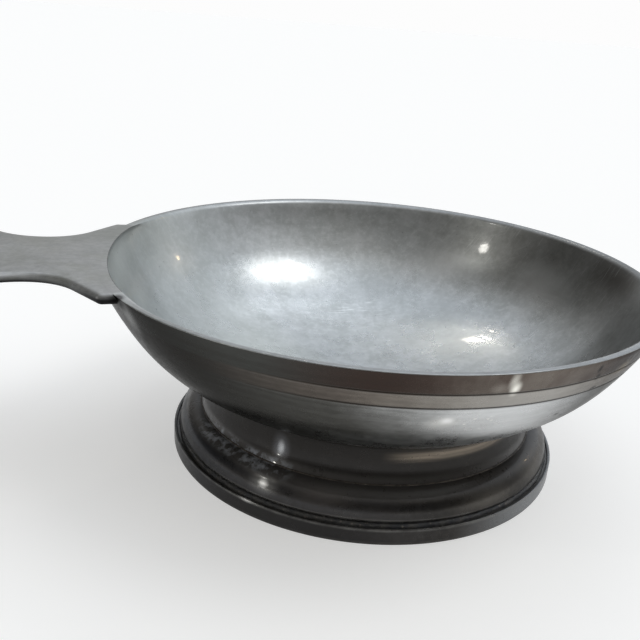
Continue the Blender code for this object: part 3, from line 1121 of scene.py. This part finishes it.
@dataclass
class Solder:
    """The runs of soft solder that hold the pieces together, dusty in the groove above the base ring."""

    shop: Workshop
    bowl: Bowl
    foot: Foot
    handle: Handle
    finish: Material
    dusty: Material
    fillet_span: float = radians(22)
    fillet_leg: float = 2.8 * MM
    fillet_end: float = 0.9 * MM

    def build(self) -> None:
        """Make the three ring seams and the fillet under the handle."""
        foot = self.foot
        ring = foot.collar_top + 0.1 * MM
        under = foot.bowl_height(ring) - 0.4 * MM
        seam = foot.seam_radius - 0.1 * MM
        for name, node, corner, legs, finish in (
            ("bowl_fillet", "bowl_solder", (ring, under), (0.35 * MM, 0.4 * MM), self.finish),
            ("collar_bead", "collar_solder", (seam, foot.seam_height), (0.35 * MM, 0.2 * MM), self.finish),
            ("ring_bead", "ring_solder", (foot.skirt, foot.ledge_height), (1.2 * MM, 0.95 * MM), self.dusty),
        ):
            self.shop.piece(name, self.bead(*corner, *legs), [finish], Slot.SOLDER, node)
        self.shop.piece("handle_fillet", self.under_handle(), [self.finish], Slot.SOLDER, "handle_solder")

    def bead(self, radius: float, height: float, out: float, up: float) -> Shape:
        """A round-faced bead in a corner, uneven along its length.

        Args:
            radius: Radius of the corner.
            height: Height of the corner.
            out: Reach of the bead outwards.
            up: Reach of the bead upwards.

        Returns:
            The bead about the dish's axis.
        """
        points = [
            Turn(radius + out * sin(a), height + up * cos(a))
            for a in (0.0, 0.3, 0.6, 0.9, 1.2, pi / 2)
        ]
        points.append(Turn(radius - 0.2 * MM, height - 0.05 * MM))
        shape = self.shop.turn(points)
        for vert in shape.verts:
            around = atan2(vert.co.y, vert.co.x)
            waves = ((23, 0.0, 0.4), (61, 1.3, 0.3), (7, 0.4, 0.3))
            swell = sum(sin(around * count + start) * share for count, start, share in waves)
            past = vert.co.xy.length - radius
            vert.co.xy *= (radius + past * (0.85 + 0.15 * swell)) / vert.co.xy.length
        return shape

    def under_handle(self) -> Shape:
        """The curved wedge between handle and bowl, fading towards its ends.

        Returns:
            The fillet about the dish's axis.
        """
        top = self.bowl.height - self.handle.thickness + 0.1 * MM
        span = self.fillet_span
        shape = bmesh.new()
        points = [shape.verts.new((1.0 - c, 0.0, c)) for c in (0.0, 0.25, 0.5, 0.75, 1.0)]
        points.append(shape.verts.new((0.0, 0.0, 0.0)))
        section = shape.faces.new(points)
        about = {"cent": (-1.0, 0.0, 0.0), "axis": (0.0, 0.0, 1.0), "angle": 2 * span}
        bmesh.ops.spin(shape, geom=[section], steps=40, **about)
        for vert in shape.verts:
            share = atan2(vert.co.y, vert.co.x + 1.0) / span - 1.0
            out, down = hypot(vert.co.x + 1.0, vert.co.y) - 1.0, vert.co.z
            size = self.fillet_leg - (self.fillet_leg - self.fillet_end) * share**4
            hollow = 1.0 - 0.9 * max(0.0, min(out, down))
            height = top - size * down * hollow
            radius = self.bowl.radius_at(height) - 0.2 * MM + size * out * hollow
            at = pi + span * share
            vert.co = Vector((radius * cos(at), radius * sin(at), height))
        return shape


class Lamp(Enum):
    """Lamps of the studio: azimuth and elevation in degrees, strength, width in degrees and colour."""

    KEY = (-11, 61, 0.36, 24.0, "#fffdfa")
    GLOW = (56, 53, 0.06, 20.0, "#f6faff")
    LEFT = (-168, 40, 0.09, 3.8, "#fffdf6")
    LOW_LEFT = (-160, 20, 0.07, 1.6, "#fffdf6")
    LEVEL_LEFT = (-157, 4, 0.05, 1.6, "#fffdf6")
    BACK = (83.5, 42.2, 0.03, 1.8, "#fff6e8")
    BACK_RIGHT = (88.0, 44.2, 0.025, 1.6, "#fff6e8")
    BACK_HIGH = (97, 48, 0.012, 1.2, "#fff2e0")
    RIGHT = (21, 23, 0.012, 0.9, "#ffe0b0")


@dataclass
class Studio:
    """A pale table, soft light from behind and above, small lamps, and the photo's camera."""

    axis: float
    table_radius: float = 30.0
    pale: str = "#ededeb"
    shade: str = "#d0d0cf"
    glow: float = 0.48
    room: float = 0.09
    ceiling: float = 0.42
    window: tuple[float, float] = (45, 38)
    window_level: float = 0.9
    soft_box: tuple[float, float] = (-60, 66)
    soft_box_level: float = 0.35
    backdrop: float = 0.98
    lamp_distance: float = 1.5
    sensor: float = 36.0
    focal_share: float = 795.5 / 640.0
    camera_place: Triple = (-52.42 * MM, -189.04 * MM, 105.75 * MM)
    camera_way: Triple = (0.1878, 0.9171, -0.3517)
    camera_roll: float = 0.0764

    @staticmethod
    def way(azimuth: float, elevation: float) -> Vector:
        """Unit vector towards an azimuth and elevation in degrees."""
        turn, rise = radians(azimuth), radians(elevation)
        return Vector((cos(turn) * cos(rise), sin(turn) * cos(rise), sin(rise)))

    def build(self) -> None:
        """Set the table, the lights and the camera."""
        bpy.context.scene.view_settings.view_transform = "Standard"
        self.table()
        self.sky()
        for lamp in Lamp:
            self.lamp(lamp)
        self.camera()

    def table(self) -> None:
        """A wide round table top of matt white card, which glows to the camera and in reflections."""
        shape = bmesh.new()
        bmesh.ops.create_circle(shape, cap_ends=True, segments=96, radius=self.table_radius)
        mesh = bpy.data.meshes.new("table_top")
        shape.to_mesh(mesh)
        shape.free()
        material = bpy.data.materials.new("matt_white_card")
        add = fresh_nodes(material)
        seen = add("LightPath", [], out="Is Camera Ray")
        for kind in ("Is Glossy Ray", "Is Transmission Ray"):
            seen = add("Math", [seen, add("LightPath", [], out=kind)], **MOST)
        card = add("BsdfDiffuse", {"Color": linear(self.pale)})
        shade = add("BsdfDiffuse", {"Color": linear(self.shade)})
        glow = add("Emission", {"Color": linear("#fffffe"), "Strength": self.glow})
        surface = add("MixShader", [seen, card, add("AddShader", [shade, glow])])
        add("OutputMaterial", {"Surface": surface})
        mesh.materials.append(material)
        table = bpy.data.objects.new("table_top", mesh)
        bpy.context.scene.collection.objects.link(table)

    def sky(self) -> None:
        """A dim warm room with a large cool window behind and above the dish, pale at the horizon."""
        world = bpy.data.worlds.new("studio")
        bpy.context.scene.world = world
        add = fresh_nodes(world)
        look = add("TexCoord", [], out="Generated")
        near, box = (
            add("VectorMath", [look, tuple(self.way(*place))], out="Value", operation="DOT_PRODUCT")
            for place in (self.window, self.soft_box)
        )
        near = add("MapRange", [near, 0.25, 0.88])
        box = add("MapRange", [box, 0.80, 1.0, 0.0, self.soft_box_level], **SOFT)
        rise = add("SeparateXYZ", [look], out="Z")
        above = add("MapRange", [rise, 0.50, 0.98, 0.0, self.ceiling], **SOFT)
        low = add("MapRange", [rise, 0.065, 0.14, 1.0, 0.0], **SOFT)
        behind = add("MapRange", [add("SeparateXYZ", [look], out="Y"), -0.3, 0.6, 0.5, 0.95], **SOFT)
        level = add("Mix", {0: near, 2: self.room, 3: self.window_level})
        for more in (above, box):
            level = add("Math", [level, more], **SUM)
        level = add("Mix", {0: low, 2: level, 3: behind})
        cool = add("Math", [near, above], use_clamp=True, **SUM)
        tint = add("Mix", {0: cool, 6: linear("#fffaf3"), 7: linear("#f1f7ff")}, out=2, data_type="RGBA")
        # The camera sees a plain pale backdrop; the metal mirrors the room.
        seen = add("LightPath", [], out="Is Camera Ray")
        level = add("Mix", {0: seen, 2: level, 3: self.backdrop})
        white = add("Math", [low, seen], **MOST)
        tint = add("Mix", {0: white, 6: tint, 7: linear("#ffffff")}, out=2, data_type="RGBA")
        add("OutputWorld", {"Surface": add("Background", {"Color": tint, "Strength": level})})

    def lamp(self, lamp: Lamp) -> None:
        """Hang one far round lamp.

        Args:
            lamp: Its direction, strength, width and colour.
        """
        azimuth, elevation, strength, width, colour = lamp.value
        data = bpy.data.lights.new(lamp.name.lower(), "SUN")
        data.energy, data.angle, data.color = strength, radians(width), linear(colour)[:3]
        thing = bpy.data.objects.new(data.name, data)
        toward = self.way(azimuth, elevation)
        thing.location = Vector((self.axis, 0.0, 0.0)) + self.lamp_distance * toward
        thing.rotation_euler = toward.to_track_quat("Z", "Y").to_euler()
        bpy.context.scene.collection.objects.link(thing)

    def camera(self) -> None:
        """The camera where the photo's perspective puts it, close above the table."""
        data = bpy.data.cameras.new("photo_view")
        data.sensor_width = self.sensor
        data.lens = self.sensor * self.focal_share
        data.clip_start = 0.01
        camera = bpy.data.objects.new("photo_view", data)
        forward = Vector(self.camera_way).normalized()
        right = forward.cross(Vector((0.0, 0.0, 1.0))).normalized()
        up = right.cross(forward)
        side = cos(self.camera_roll) * right + sin(self.camera_roll) * up
        top = cos(self.camera_roll) * up - sin(self.camera_roll) * right
        turn = Matrix((side, top, -forward)).transposed().to_4x4()
        place = Vector((self.axis, 0.0, 0.0)) + Vector(self.camera_place)
        camera.matrix_world = Matrix.Translation(place) @ turn
        bpy.context.scene.collection.objects.link(camera)
        bpy.context.scene.camera = camera


def main() -> None:
    """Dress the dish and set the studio."""
    logging.basicConfig(level=logging.INFO, format="%(name)s %(message)s")
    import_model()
    low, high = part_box("bowl")
    axis, rim, height = (low[0] + high[0]) / 2, (high[0] - low[0]) / 2, high[2]
    shop = Workshop(axis)
    bowl = Bowl(shop, rim, height)
    lines = tuple(height - drop for drop in bowl.line_drops)

    filed = CastHandle(axis).material()
    bowl.build(SatinInside(axis).material(), TarnishedOutside(axis, lines).material(), filed)
    foot = Foot(shop, bowl, TarnishedFoot(axis).material())
    foot.build()
    handle = Handle(shop, bowl, filed)
    handle.build()
    dull = DullSolder(axis)
    dusty = DullSolder(axis, "dusty_soft_solder", "#47494c", "#62615f", "#8a847c")
    Solder(shop, bowl, foot, handle, dull.material(), dusty.material()).build()
    Studio(axis).build()


if __name__ == "__main__":
    main()
